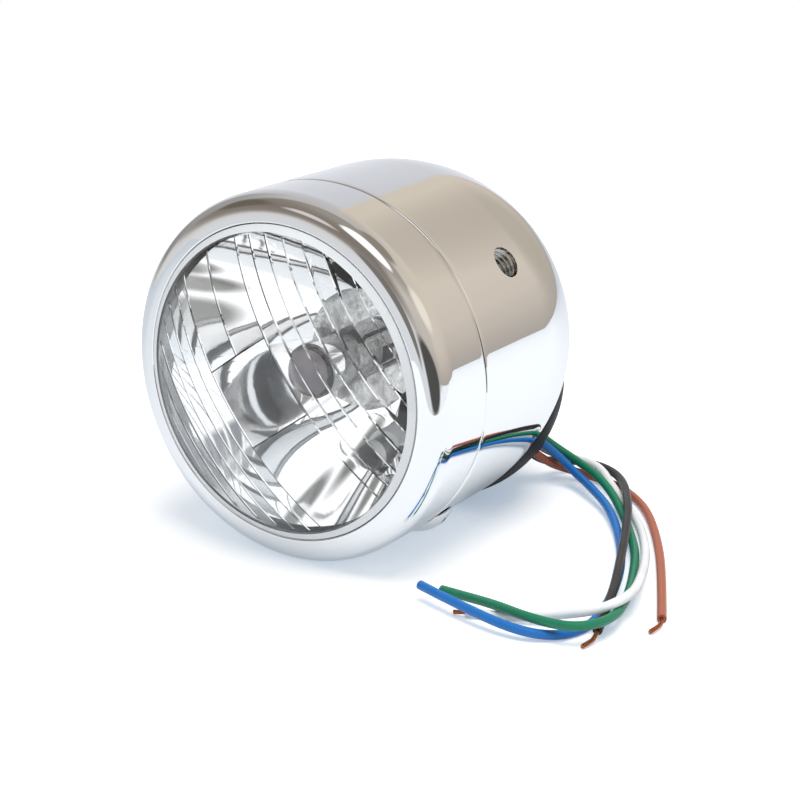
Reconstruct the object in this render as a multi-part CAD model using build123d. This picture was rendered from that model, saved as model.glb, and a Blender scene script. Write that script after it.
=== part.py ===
from build123d import *
import os
from math import asin, cos, degrees, pi, radians, sin, sqrt, tan

# Round motorcycle headlight. All sizes are in millimetres and degrees.
# Each rigid piece is drawn in the lamp's own frame: axis along Y, lens facing -Y, the bezel's lip at y = 0,
# the lamp upright. The whole lamp is then laid down as it rests, rolled about its axis on the surface z = 0.

# Rest position
roll = 35.2

# Bezel and bucket, pressed steel
shell_radius = 57.15
sheet = 1.0
bezel_face = 8.65
bezel_rise = 0.76
bezel_corner = 7.0
lip_rounding = 0.45
hem_depth = 2.4
seam_y = 24.4
seam_gap = 0.35
sleeve_gap = 0.2
sleeve_reach = 7.0
dome_y = 60.5

# Threaded side mounts
mount_setback = 8.3
mount_hole_radius = 5.05
mount_thread_radius = 4.25
mount_boss_radius = 8.0
mount_boss_length = 10.0
weld_gap = 0.05

# Bezel screw and its tab
screw_y = 33.3
screw_head_radius = 7.4
screw_head_height = 2.6
screw_shank_radius = 2.5
screw_length = 9.0
screw_slot_width = 1.2
screw_slot_depth = 1.1
screw_clearance = 0.15
tab_half_angle = 7.5
tab_thickness = 1.2
tab_front_y = 10.0
tab_end = 8.0
tab_collar_wall = 1.6
tab_collar_length = 3.0

# Lens, pressed glass
lens_rise = 13.3
lens_clearance = 0.3
lens_glass = 3.5
lens_skirt_wall = 3.2
lens_flange_overlap = 3.8
lens_flange_y = 4.0
lens_flange_thickness = 2.6
flute_count = 6
flute_rim = 2.9
flute_root = 0.25
flute_height = 0.12
flute_bury = 0.6
flute_field_margin = 0.5
panel_half_width = 11.8
panel_half_height = 12.7
panel_height = 0.5
wide_flute_height = 0.35
tab_notch_radius = 1.6

# Rings between bezel, lens and reflector
gasket_inset = 1.2
gasket_gap = 0.1
seal_thickness = 1.0
seal_inset = 1.2

# Reflector, a paraboloid
bowl_margin = 0.78
vertex_y = 52.0
reflector_wall = 1.2
neck_radius = 19.5
bulb_seat_y = 66.0
seat_depth = 2.5
seat_radius = 22.0
collar_radius = 25.0
collar_length = 4.5
rim_gap = 0.4
rim_wall = 1.0
rim_height = 3.0

# Spring leaves that hold the light unit in the bezel
clip_count = 4
clip_first_angle = 45.0
clip_half_angle = 5.5
clip_thickness = 0.6
clip_seat_gap = 0.05
clip_tail = 5.0
clip_hold = 2.8

# Bulb
bulb_radius = 8.5
bulb_glass = 1.0
bulb_tip_y = 13.0
bulb_tip_rise = 3.6
bulb_shoulder = 2.0
pinch_length = 6.0
base_collar_radius = 11.5
base_collar_length = 8.0
base_collar_gap = 0.1
flange_radius = 19.9
flange_thickness = 1.2
flange_lug_reach = 1.6
flange_lug_width = 9.0
base_barrel_radius = 12.0
base_barrel_length = 13.0
blade_width = 8.0
blade_thickness = 0.8
blade_length = 10.0
blade_offset = 7.0
shade_radius = 4.6
shade_wall = 0.5
shade_front_y = 33.0
shade_length = 11.0
filament_radius = 0.9
filament_length = 5.5
filament_post_radius = 0.4
low_filament_y = 36.0
high_filament_y = 46.0
filament_gap_z = 1.5
low_filament_spread = 3.0
high_filament_spread = 2.0

# Spring wire that holds the bulb down
clip_wire_radius = 0.7
clip_leg_z = 13.4
clip_shoulder_x = 16.4
clip_press_x = 12.4
clip_end_x = 20.2
clip_lift = 0.25
clip_bend = 1.4
clip_return_bend = 3.0

# Dust boot and bulb socket
boot_wall = 1.9
boot_fit = 0.15
boot_skirt = 3.0
boot_cover_gap = 2.4
boot_neck_length = 3.0
socket_width = 25.0
socket_height = 23.0
socket_length = 14.0
socket_gap = 1.0
socket_rounding = 2.5
slot_clearance = 0.3
slot_depth = 9.5

# Pilot light
pilot_inset = 14.8
pilot_hole_radius = 6.3
pilot_fit = 0.25
pilot_stand = 1.6
pilot_length = 17.0
pilot_bulb_radius = 4.5
pilot_bulb_length = 12.0
pilot_bulb_seat = 4.0
pilot_bulb_clearance = 0.1
pilot_lead_spread = 2.4

# Rubber cap that the wires come out of, turned about a line through the middle of the round back
grommet_angle = 38.4
grommet_radius = 39.6
grommet_sink = 33.55
grommet_hole_radius = 27.0
grommet_fit = 0.2
grommet_wall = 3.0
grommet_lip = 2.4
grommet_lip_thickness = 2.0
boss_radius = 6.6
boss_height = 3.2
wire_circle = 3.6

# Wires and inner leads
wire_radius = 1.4
wire_out = 8.0
wire_fit = 0.1
copper_radius = 0.75
share_of_run = 0.45
lead_pull = 14.0
lead_run = 8.0
lead_bow = 7.0

# Free wires: after the first two points, which follow from the grommet, the route is as it lies.
wire_routes = {
    "blue": [(44, 53.4, 5.8), (53, 47.4, 4.6), (66.4, 36.2, 3.2), (79.1, 18.5, 1.6), (89.8, -1.7, 1.4),
             (97.2, -23.4, 1.4), (101, -42.2, 1.4), (97.3, -53.4, 1.4), (87.8, -60.1, 3), (70, -58.4, 4.5),
             (49.8, -52, 4.8)],
    "green": [(42, 57.8, 8.4), (53, 51.8, 7.4), (62.6, 45.6, 4.6), (75.3, 31.1, 1.6), (88, 11.8, 1.4),
              (95.9, -6.3, 1.6), (102.3, -22.8, 3), (108.2, -43.5, 5.6), (103, -56, 6.4), (89, -55.4, 5.4),
              (74, -51, 4.4), (62.5, -47.8, 2.8), (53.5, -46, 1.9)],
    "white": [(38.5, 60.6, 7.6), (50.3, 59.6, 7.6), (59.2, 53.4, 2.9), (70.2, 43.2, 1.4), (81.8, 28.8, 1.4),
              (93.3, 8.1, 2.6), (103.2, -17, 5.8), (107, -31, 7.7), (104, -44.5, 7.6), (91, -46.2, 3.4),
              (79, -50.8, 1.4), (67, -54.6, 1.4)],
    "black": [(32.2, 62, 4.9), (39.8, 67.4, 4.3), (50.2, 65.8, 4.6), (61.4, 56.2, 5.3), (72.1, 38.3, 5.4),
              (81.4, 17.9, 5.1), (90, -3.2, 4.6), (97.6, -22.2, 4.5), (102.2, -36.6, 4.3), (105, -47, 2.6)],
    "brown": [(37.4, 58.2, 4.3), (44.6, 61.6, 2.2), (53.6, 61.2, 1.5), (63.8, 56.2, 1.4), (75.5, 45.3, 1.4),
              (88.6, 25.5, 1.4), (101.3, 2.3, 1.4), (115.5, -27.8, 1.4)],
}
copper_ends = {
    "white": [(63.4, -55.4, 1.0)],
    "black": [(105.6, -51.4, 1.2), (104.4, -55, 0.85)],
    "brown": [(117, -32.6, 1.3), (116, -36.6, 0.9)],
}

# Sizes that follow from the ones above
lip_radius = shell_radius - bezel_face
dome_back_y = dome_y + shell_radius
mount_y = dome_y - mount_setback
middle_y = (dome_back_y - lens_rise) / 2
bezel_slope = bezel_rise / bezel_face
slope_length = sqrt(1 + bezel_slope**2)
slope_wall = sheet * slope_length
shell_inside = shell_radius - sheet
bucket_front_y = seam_y + seam_gap
sleeve_radius = shell_inside - sleeve_gap
sleeve_front_y = bucket_front_y - sleeve_reach
lens_radius = lip_radius - lens_clearance
lens_sphere = (lens_radius**2 + lens_rise**2) / (2 * lens_rise)
lens_centre_y = lens_sphere - lens_rise
lens_inner_sphere = lens_sphere - lens_glass
lens_bore = lens_radius - lens_skirt_wall
lens_flange_radius = lip_radius + lens_flange_overlap
flute_pitch = (lens_bore - flute_rim - panel_half_width) / flute_count
gasket_inner = lip_radius + gasket_inset
seal_inner = lens_bore + seal_inset
clip_foot_radius = lens_flange_radius - clip_hold
lens_back_y = lens_flange_y + lens_flange_thickness
rim_y = lens_back_y + seal_thickness
rim_back_y = rim_y + reflector_wall
bowl_radius = lens_bore + bowl_margin
focal_length = bowl_radius**2 / (4 * (vertex_y - rim_y))
neck_y = vertex_y - neck_radius**2 / (4 * focal_length)
pilot_drop = bowl_radius - pilot_inset
pilot_front_y = vertex_y - pilot_drop**2 / (4 * focal_length) - pilot_stand
bulb_base_y = bulb_seat_y + flange_thickness + base_barrel_length
socket_y = bulb_base_y + socket_gap
socket_back_y = socket_y + socket_length
pilot_back_y = pilot_front_y + pilot_length
grommet_centre = shell_radius - grommet_sink
boss_face = grommet_centre + grommet_radius + boss_height


def turned(outline):
    """Revolve a half section about the lamp's axis: radius along X, depth along Y."""
    return revolve(make_face(outline), Axis.Y)


def turned_sector(outline, middle_angle, half_angle):
    """Revolve a half section through part of a turn; 90 degrees is the lamp's underside."""
    start = make_face(outline).rotate(Axis.Y, middle_angle - half_angle)
    return revolve(start, Axis.Y, 2 * half_angle)


def rounded(face, corner, radius):
    """Round the corner of a flat outline that lies nearest to a point."""
    nearest = face.vertices().sort_by_distance((*corner, 0))[0]
    return fillet(nearest, radius)


def rod(start, direction, radius, length):
    """Round bar from a point along a direction."""
    along = Plane(origin=start, z_dir=direction)
    return along * Cylinder(radius, length, align=(Align.CENTER, Align.CENTER, Align.MIN))


def across_sphere(radius, across):
    """Height over the middle of a ball at a distance from its axis."""
    return sqrt(radius**2 - across**2)


def bezel_inside(radius):
    """Depth of the bezel's inner face at a radius, on its sloping front or its rounded corner."""
    slope_depth = bezel_slope * (radius - lip_radius) + slope_wall
    bend = shell_radius - bezel_corner
    inner_bend = bezel_corner - sheet
    if radius < bend + inner_bend * bezel_slope / slope_length:
        return slope_depth
    bend_depth = bezel_slope * (bend - lip_radius) + bezel_corner * slope_length
    return bend_depth - across_sphere(inner_bend, radius - bend)


def bezel():
    """Chromed ring: straight side, rounded corner, sloping front and turned-in lip."""
    hem = lip_radius + sheet
    inner_corner = (shell_inside, bezel_slope * (shell_inside - lip_radius) + slope_wall)
    outline = Polyline(
        (shell_radius, seam_y),
        (shell_radius, bezel_rise),
        (lip_radius, 0),
        (lip_radius, hem_depth),
        (hem, hem_depth),
        (hem, bezel_inside(hem)),
        inner_corner,
        (shell_inside, seam_y),
        close=True,
    )
    section = make_face(outline)
    section = rounded(section, (shell_radius, bezel_rise), bezel_corner)
    section = rounded(section, inner_corner, bezel_corner - sheet)
    section = rounded(section, (lip_radius, 0), lip_rounding)
    return revolve(section, Axis.Y)


def on_dome_axis(distance, side=0.0, lift=0.0):
    """Point on the grommet's own axis, shifted sideways and across it."""
    back = sin(radians(grommet_angle))
    down = cos(radians(grommet_angle))
    return Vector(side, dome_y + distance * back + lift * down, -distance * down + lift * back)


grommet_axis = (on_dome_axis(1) - on_dome_axis(0)).normalized()


def bucket():
    """Chromed shell: sleeve under the bezel, straight side, round back, and holes for what it carries."""
    sleeve_inside = sleeve_radius - sheet
    step_y = bucket_front_y + sheet
    outline = [
        Line((shell_radius, bucket_front_y), (shell_radius, dome_y)),
        CenterArc((0, dome_y), shell_radius, 0, 90),
        Line((0, dome_back_y), (0, dome_back_y - sheet)),
        CenterArc((0, dome_y), shell_inside, 0, 90),
        Polyline(
            (shell_inside, dome_y),
            (shell_inside, step_y),
            (sleeve_inside, step_y),
            (sleeve_inside, sleeve_front_y),
            (sleeve_radius, sleeve_front_y),
            (sleeve_radius, bucket_front_y),
            (shell_radius, bucket_front_y),
        ),
    ]
    shell = turned(outline)
    mount_holes = rod((-shell_radius, mount_y, 0), (1, 0, 0), mount_hole_radius, 2 * shell_radius)
    screw_hole = rod((0, screw_y, 0), (0, 0, -1), screw_shank_radius + screw_clearance, shell_radius)
    wire_hole = rod((0, dome_y, 0), grommet_axis, grommet_hole_radius, shell_radius)
    return shell - mount_holes - screw_hole - wire_hole


def mount_boss(side):
    """Threaded boss welded inside the bucket, behind one of its side holes."""
    outer_end = shell_inside - weld_gap
    boss = rod((side * (outer_end - mount_boss_length), mount_y, 0), (side, 0, 0), mount_boss_radius, shell_radius)
    boss &= rod((0, mount_y - shell_radius, 0), (0, 1, 0), outer_end, 2 * shell_radius)
    return boss - rod((0, mount_y, 0), (side, 0, 0), mount_thread_radius, shell_radius)


def screw_tab():
    """Strip on the bezel's inside that reaches back under the bucket and takes the bezel screw."""
    outer = shell_inside - weld_gap
    inner = sleeve_radius - sheet - sleeve_gap
    step_y = sleeve_front_y - sheet
    ramp_y = step_y - (outer - inner)
    end_y = screw_y + tab_end
    outline = Polyline(
        (outer, tab_front_y),
        (outer, ramp_y),
        (inner, step_y),
        (inner, end_y),
        (inner - tab_thickness, end_y),
        (inner - tab_thickness, step_y - tab_thickness / 2),
        (outer - tab_thickness, ramp_y - tab_thickness / 2),
        (outer - tab_thickness, tab_front_y),
        close=True,
    )
    strip = turned_sector(outline, 90, tab_half_angle)
    bore = screw_shank_radius + screw_clearance
    collar_top = inner - tab_thickness / 2
    collar_reach = tab_collar_length + tab_thickness / 2
    collar = rod((0, screw_y, -collar_top), (0, 0, 1), bore + tab_collar_wall, collar_reach)
    return strip + collar - rod((0, screw_y, 0), (0, 0, -1), bore, shell_radius)


def bezel_screw():
    """Low domed slotted screw under the lamp."""
    seat = shell_radius + weld_gap
    dome = (screw_head_radius**2 + screw_head_height**2) / (2 * screw_head_height)
    outline = [
        Line((0, -screw_length), (screw_shank_radius, -screw_length)),
        Line((screw_shank_radius, -screw_length), (screw_shank_radius, 0)),
        Line((screw_shank_radius, 0), (screw_head_radius, 0)),
        RadiusArc((screw_head_radius, 0), (0, screw_head_height), -dome),
        Line((0, screw_head_height), (0, -screw_length)),
    ]
    slot_box = Box(2 * screw_head_radius, 2 * screw_slot_depth, screw_slot_width)
    screw = turned(outline) - Pos(0, screw_head_height, 0) * slot_box
    return Pos(0, screw_y, -seat) * Rot(-90, 0, 0) * screw


def on_lens(x, depth):
    """Point of the flutes' section: so deep behind the smooth inner face, at x across the lens."""
    return (x, lens_centre_y - sqrt((lens_inner_sphere - depth) ** 2 - x**2))


def ribs(edges, height, low_z, high_z):
    """Upright ribs on the lens's inner face, between the listed places across it, over a range of heights."""
    first, last = edges[0], edges[-1]
    outline = []
    for left, right in zip(edges, edges[1:]):
        crest = on_lens((left + right) / 2, flute_root + height)
        outline.append(ThreePointArc(on_lens(left, flute_root), crest, on_lens(right, flute_root)))
    outline.append(Line(on_lens(last, flute_root), on_lens(last, -flute_bury)))
    middle = on_lens((first + last) / 2, -flute_bury)
    outline.append(ThreePointArc(on_lens(last, -flute_bury), middle, on_lens(first, -flute_bury)))
    outline.append(Line(on_lens(first, -flute_bury), on_lens(first, flute_root)))
    hinge = Axis((0, lens_centre_y, 0), (1, 0, 0))
    low = degrees(asin(low_z / lens_inner_sphere))
    high = degrees(asin(high_z / lens_inner_sphere))
    return revolve(make_face(outline).rotate(hinge, -high), hinge, high - low)


def lens():
    """Domed glass with a plain rim and, on its inner face, flutes either side of a plain panel."""
    inner_edge_y = lens_centre_y - sqrt(lens_inner_sphere**2 - lens_bore**2)
    outer_start = degrees(asin(lens_radius / lens_sphere))
    inner_start = degrees(asin(lens_bore / lens_inner_sphere))
    outline = [
        CenterArc((0, lens_centre_y), lens_sphere, 270, outer_start),
        Polyline(
            (lens_radius, 0),
            (lens_radius, lens_flange_y),
            (lens_flange_radius, lens_flange_y),
            (lens_flange_radius, lens_back_y),
            (lens_bore, lens_back_y),
            (lens_bore, inner_edge_y),
        ),
        CenterArc((0, lens_centre_y), lens_inner_sphere, 270, inner_start),
        Line((0, lens_glass - lens_rise), (0, -lens_rise)),
    ]
    field = lens_bore - flute_field_margin
    outside = [panel_half_width + flute_pitch * step for step in range(flute_count + 1)]
    right_side = ribs(outside, flute_height, -field, field)
    panel = ribs([-panel_half_width, panel_half_width], panel_height, -panel_half_height, panel_half_height)
    above = ribs([-panel_half_width, 0, panel_half_width], wide_flute_height, panel_half_height, field)
    pattern = right_side + mirror(right_side, Plane.YZ) + panel + above
    window = rod((0, -shell_radius, 0), (0, 1, 0), field, 2 * shell_radius)
    notch = rod((0, lens_flange_y, -lens_radius), (0, -1, 0), tab_notch_radius, lens_flange_y)
    notch &= rod((0, 0, 0), (0, 1, 0), lip_radius - lens_clearance / 2, lens_flange_y)
    return turned(outline) + (pattern & window) + notch


def flat_ring(inner, outer, front, back):
    """Plain ring about the lamp's axis."""
    return turned(Polyline((inner, front), (outer, front), (outer, back), (inner, back), close=True))


def lens_gasket():
    """Rubber ring between the bezel's sloping front and the lens flange."""
    outer = lens_flange_radius
    outline = Polyline(
        (gasket_inner, lens_flange_y),
        (outer, lens_flange_y),
        (outer, bezel_inside(outer) + gasket_gap),
        (gasket_inner, bezel_inside(gasket_inner) + gasket_gap),
        close=True,
    )
    return turned(outline)


def lens_seal():
    """Bead of sealant between the lens flange and the reflector's rim."""
    return flat_ring(seal_inner, lens_flange_radius, lens_back_y, rim_y)


def parabola(start_radius, end_radius, shift_radius=0.0, shift_y=0.0):
    """Part of the reflector's curve, as the quadratic curve that it is, shifted for the wall's outside."""
    def at(radius):
        return (radius + shift_radius, vertex_y - radius**2 / (4 * focal_length) + shift_y)

    start = at(start_radius)
    slope = -start_radius / (2 * focal_length)
    middle = (start_radius + end_radius) / 2
    handle = (middle + shift_radius, start[1] + slope * (middle - start_radius))
    return Bezier(start, handle, at(end_radius))


def reflector():
    """Bright bowl with a rim round the lens, a neck with the bulb's seat, and the pilot light's hole."""
    neck_outside = neck_radius + reflector_wall
    outer_bowl_start = sqrt(4 * focal_length * (vertex_y + reflector_wall - rim_back_y))
    rim_inside = lens_flange_radius + rim_gap
    rim_outside = rim_inside + rim_wall
    rim_front_y = rim_y - rim_height
    seat_back_y = bulb_seat_y + seat_depth
    inner_curve = parabola(bowl_radius, neck_radius)
    outer_curve = parabola(neck_radius, outer_bowl_start, reflector_wall, reflector_wall)
    outline = [
        inner_curve,
        Polyline(
            (neck_radius, neck_y),
            (neck_radius, bulb_seat_y),
            (seat_radius, bulb_seat_y),
            (seat_radius, seat_back_y),
            (collar_radius, seat_back_y),
            (collar_radius, seat_back_y - collar_length),
            (neck_outside, seat_back_y - collar_length),
            outer_curve @ 0,
        ),
        outer_curve,
        Polyline(
            outer_curve @ 1,
            (rim_outside, rim_back_y),
            (rim_outside, rim_front_y),
            (rim_inside, rim_front_y),
            (rim_inside, rim_y),
            (bowl_radius, rim_y),
        ),
    ]
    pilot_hole = rod((0, 0, -pilot_drop), (0, 1, 0), pilot_hole_radius, dome_y)
    return turned(outline) - pilot_hole


def unit_clips():
    """Spring leaves inside the bezel that press on the back of the reflector's rim."""
    wall = shell_inside - weld_gap
    foot_y = rim_back_y + clip_seat_gap
    bend_y = foot_y + (wall - lens_flange_radius) / 2
    outline = Polyline(
        (wall, bend_y + clip_tail),
        (wall, bend_y),
        (lens_flange_radius, foot_y),
        (clip_foot_radius, foot_y),
        (clip_foot_radius, foot_y + clip_thickness),
        (lens_flange_radius - clip_thickness / 2, foot_y + clip_thickness),
        (wall - clip_thickness, bend_y + clip_thickness),
        (wall - clip_thickness, bend_y + clip_tail),
        close=True,
    )
    step = 360 / clip_count
    angles = [clip_first_angle + step * number for number in range(clip_count)]
    return Compound([turned_sector(outline, angle, clip_half_angle).solid() for angle in angles])


def bulb_envelope():
    """Clear glass tube with a rounded tip, closed by a pinch at its foot."""
    floor_y = bulb_seat_y - pinch_length
    shoulder_y = bulb_tip_y + bulb_tip_rise
    bore = bulb_radius - bulb_glass
    tip_sphere = (bulb_radius**2 + bulb_tip_rise**2) / (2 * bulb_tip_rise)
    inner_sphere = tip_sphere - bulb_glass
    centre_y = bulb_tip_y + tip_sphere
    inner_shoulder_y = centre_y - across_sphere(inner_sphere, bore)
    outline = [
        CenterArc((0, centre_y), tip_sphere, 270, degrees(asin(bulb_radius / tip_sphere))),
        Polyline((bulb_radius, shoulder_y), (bulb_radius, bulb_seat_y), (0, bulb_seat_y), (0, floor_y)),
        Polyline((0, floor_y), (bore, floor_y), (bore, inner_shoulder_y)),
        CenterArc((0, centre_y), inner_sphere, 270, degrees(asin(bore / inner_sphere))),
        Line((0, bulb_tip_y + bulb_glass), (0, bulb_tip_y)),
    ]
    section = rounded(make_face(outline), (bulb_radius, shoulder_y), bulb_shoulder)
    return revolve(section, Axis.Y)


def bulb_base():
    """Metal foot of the bulb: collar round the glass, flange with three lugs, and barrel."""
    back_y = bulb_seat_y + flange_thickness
    collar = flat_ring(
        bulb_radius + base_collar_gap, base_collar_radius, bulb_seat_y - base_collar_length, bulb_seat_y
    )
    flange = flat_ring(0, flange_radius, bulb_seat_y, back_y)
    lug = Pos(0, bulb_seat_y + flange_thickness / 2, (flange_radius + flange_lug_reach) / 2) * Box(
        flange_lug_width, flange_thickness, flange_radius + flange_lug_reach
    )
    lugs = [Rot(0, turn, 0) * lug for turn in (0, 120, 240)]
    barrel = flat_ring(0, base_barrel_radius, back_y, bulb_base_y)
    return collar + flange + lugs + barrel


def blade_places():
    """Middle and size across of the three terminals, one lying and two standing."""
    lying = (0, blade_offset, blade_width, blade_thickness)
    standing = [(side * blade_offset, 0, blade_thickness, blade_width) for side in (-1, 1)]
    return [lying] + standing


def bulb_blades():
    """Three flat terminals behind the bulb's base."""
    middle_y = bulb_base_y + blade_length / 2
    blades = [Pos(x, middle_y, z) * Box(width, blade_length, height) for x, z, width, height in blade_places()]
    return Compound([blade.solid() for blade in blades])


def bulb_shade():
    """Half tube under the low-beam filament, on a post from the bulb's foot."""
    outside = shade_radius + shade_wall
    back_y = shade_front_y + shade_length
    trough = turned_sector(
        Polyline(
            (shade_radius, shade_front_y), (outside, shade_front_y), (outside, back_y), (shade_radius, back_y),
            close=True,
        ),
        90,
        90,
    )
    post_start = (0, back_y - shade_length / 2, -shade_radius - shade_wall / 2)
    post_length = bulb_seat_y - pinch_length - post_start[1]
    return trough + rod(post_start, (0, 1, 0), filament_post_radius, post_length)


def bulb_filaments():
    """Low-beam and high-beam coils, each on two posts from the bulb's foot."""
    coils = []
    low = (low_filament_y, filament_gap_z, low_filament_spread)
    high = (high_filament_y, -filament_gap_z, high_filament_spread)
    for coil_y, height, spread in (low, high):
        coil = rod((0, coil_y, height), (0, 1, 0), filament_radius, filament_length)
        for end_y, side in ((coil_y, -1), (coil_y + filament_length - 2 * filament_post_radius, 1)):
            arm_y = end_y + filament_post_radius
            coil += rod((0, arm_y, height), (side, 0, 0), filament_post_radius, spread)
            reach = bulb_seat_y - pinch_length - arm_y
            coil += rod((side * spread, arm_y, height), (0, 1, 0), filament_post_radius, reach)
            coil += Pos(side * spread, arm_y, height) * Sphere(filament_post_radius)
        coils.append(coil.solid())
    return Compound(coils)


def tube(points, radii, radius):
    """Round bar along straight runs joined by tangent arcs."""
    path = FilletPolyline(*points, radius=radii)
    section = Plane(origin=path @ 0, z_dir=path % 0) * Circle(radius)
    return sweep(section, path=path)


def bulb_clip():
    """Bent spring wire over the bulb's flange, hooked on the reflector's collar."""
    low_y = bulb_seat_y + flange_thickness + clip_wire_radius + weld_gap
    high_y = bulb_seat_y + seat_depth + clip_wire_radius + clip_lift
    leg = [
        (-clip_end_x, high_y),
        (-clip_shoulder_x, high_y),
        (-clip_press_x, low_y),
        (clip_press_x, low_y),
        (clip_shoulder_x, high_y),
        (clip_end_x, high_y),
    ]
    points = [(x, y, clip_leg_z) for x, y in leg] + [(x, y, -clip_leg_z) for x, y in reversed(leg)]
    bends = [clip_bend] * (len(leg) - 2)
    radii = bends + [clip_return_bend, clip_return_bend] + bends
    return tube(points, radii, clip_wire_radius)


def dust_boot():
    """Rubber cover from the reflector's collar to the bulb's barrel."""
    wide = collar_radius + boot_fit
    narrow = base_barrel_radius + boot_fit
    front_y = bulb_seat_y + seat_depth - boot_skirt
    cover_y = bulb_seat_y + seat_depth + boot_cover_gap
    neck_y_end = bulb_base_y
    neck_y_start = neck_y_end - boot_neck_length
    outline = Polyline(
        (wide, front_y),
        (wide + boot_wall, front_y),
        (wide + boot_wall, cover_y + boot_wall),
        (narrow + boot_wall, neck_y_start + boot_wall),
        (narrow + boot_wall, neck_y_end),
        (narrow, neck_y_end),
        (narrow, neck_y_start),
        (wide, cover_y),
        close=True,
    )
    return turned(outline)


def bulb_socket():
    """Moulded connector on the bulb's three blades."""
    body = Pos(0, (socket_y + socket_back_y) / 2, 0) * Box(socket_width, socket_length, socket_height)
    body = fillet(body.edges().filter_by(Axis.Y), socket_rounding)
    for x, z, width, height in blade_places():
        slot = Box(width + 2 * slot_clearance, 2 * slot_depth, height + 2 * slot_clearance)
        body -= Pos(x, socket_y, z) * slot
    return body


def pilot_holder():
    """Rubber plug in the reflector that holds the pilot bulb."""
    radius = pilot_hole_radius - pilot_fit
    plug = rod((0, pilot_front_y, -pilot_drop), (0, 1, 0), radius, pilot_length)
    seat = pilot_bulb_radius + pilot_bulb_clearance
    return plug - rod((0, pilot_front_y, -pilot_drop), (0, 1, 0), seat, pilot_bulb_seat)


def pilot_bulb():
    """Small capless bulb: straight glass with a round end."""
    foot_y = pilot_front_y + pilot_bulb_seat
    round_y = pilot_front_y - pilot_bulb_length + pilot_bulb_radius
    glass = rod((0, round_y, -pilot_drop), (0, 1, 0), pilot_bulb_radius, foot_y - round_y)
    return glass + Pos(0, round_y, -pilot_drop) * Sphere(pilot_bulb_radius)


def wire_grommet():
    """Domed rubber cap in the round back, with a lip inside and a boss that the wires come out of."""
    outside = shell_radius + wire_fit
    inside = shell_inside - wire_fit
    neck = grommet_hole_radius - grommet_fit
    lip = grommet_hole_radius + grommet_lip
    lip_inside = inside - grommet_lip_thickness
    inner_curve = grommet_radius - grommet_wall
    offset = (outside**2 - grommet_radius**2 + grommet_centre**2) / (2 * grommet_centre)
    edge = sqrt(outside**2 - offset**2)
    opening = neck - grommet_wall
    boss_foot = grommet_centre + across_sphere(grommet_radius, boss_radius)

    def arc(centre, radius, start, end):
        middle = (start + end) / 2
        places = [(across, centre + across_sphere(radius, across)) for across in (start, middle, end)]
        return ThreePointArc(*places)

    lip_corner = (lip, across_sphere(lip_inside, lip))
    roof = arc(grommet_centre, inner_curve, opening, 0)
    outline = [
        Polyline((0, boss_face), (boss_radius, boss_face), (boss_radius, boss_foot)),
        arc(grommet_centre, grommet_radius, boss_radius, edge),
        arc(0, outside, edge, neck),
        Line((neck, across_sphere(outside, neck)), (neck, across_sphere(inside, neck))),
        arc(0, inside, neck, lip),
        Line((lip, across_sphere(inside, lip)), lip_corner),
        Line(lip_corner, roof @ 0),
        roof,
        Line((0, grommet_centre + inner_curve), (0, boss_face)),
    ]
    cap = Pos(0, dome_y, 0) * Rot(grommet_angle - 90, 0, 0) * turned(outline)
    for name in wire_names:
        cap -= rod(wire_place(name, grommet_centre), grommet_axis, wire_radius + wire_fit, shell_radius)
    return cap


wire_names = ("blue", "green", "white", "black", "brown")
wire_turn = {name: 18 + 72 * number for number, name in enumerate(wire_names)}


def wire_place(name, distance):
    """Point on a wire's own line through the grommet."""
    turn = radians(wire_turn[name] - roll)
    return on_dome_axis(distance, wire_circle * cos(turn), wire_circle * sin(turn))


def laid(piece):
    """Lay the upright lamp down as it rests."""
    return Pos(0, -middle_y, shell_radius) * Rot(0, -roll, 0) * piece


def laid_point(point):
    """Where a point of the upright lamp comes to lie."""
    return laid(Vertex(*point)).center()


def fillet_radii(points):
    """Largest easy bend at each corner of a route."""
    radii = []
    for before, corner, after in zip(points, points[1:], points[2:]):
        run_in = Vector(corner) - Vector(before)
        run_out = Vector(after) - Vector(corner)
        turn = radians(run_in.get_angle(run_out))
        radii.append(share_of_run * min(run_in.length, run_out.length) / tan(turn / 2))
    return radii


def cord(name, points, radius):
    """Tube along a route, with a printed note of its bends, length and volume."""
    radii = fillet_radii(points)
    path = FilletPolyline(*points, radius=radii)
    piece = tube(points, radii, radius)
    section = pi * radius**2
    print(name, "bends", [round(value, 1) for value in radii], "length", round(path.length, 1),
          "volume ratio", round(piece.volume / (section * path.length), 4))
    return piece


# Inner leads: where each starts, in the upright lamp's frame.
lead_starts = {
    "blue": (blade_offset, socket_back_y, 0.0),
    "green": (0.0, socket_back_y, blade_offset),
    "white": (-blade_offset, socket_back_y, 0.0),
    "black": (-pilot_lead_spread, pilot_back_y, -pilot_drop),
    "brown": (pilot_lead_spread, pilot_back_y, -pilot_drop),
}


def free_wire(name):
    """Wire from the grommet's boss to its cut end."""
    start = laid_point(wire_place(name, boss_face))
    second = laid_point(wire_place(name, boss_face + wire_out))
    return cord("wire_" + name, [start, second] + wire_routes[name], wire_radius)


def copper_end(name):
    """Bare strands beyond a wire's insulation."""
    start = wire_routes[name][-1]
    before = Vector(*wire_routes[name][-2])
    ahead = Vector(*start) + (Vector(*start) - before).normalized() * 2
    return cord("copper_" + name, [start, ahead] + copper_ends[name], copper_radius)


def inner_lead(name):
    """Wire from its terminal inside the lamp, bowed backwards, to the outer face of the grommet's boss."""
    start = Vector(*lead_starts[name])
    run_end = start + Vector(0, lead_run, 0)
    near = wire_place(name, boss_face - lead_pull)
    middle = (run_end + near) * 0.5 + Vector(0, lead_bow, 0)
    points = [start, run_end, middle, near, wire_place(name, boss_face)]
    return laid(tube(points, fillet_radii(points), wire_radius))


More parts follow.
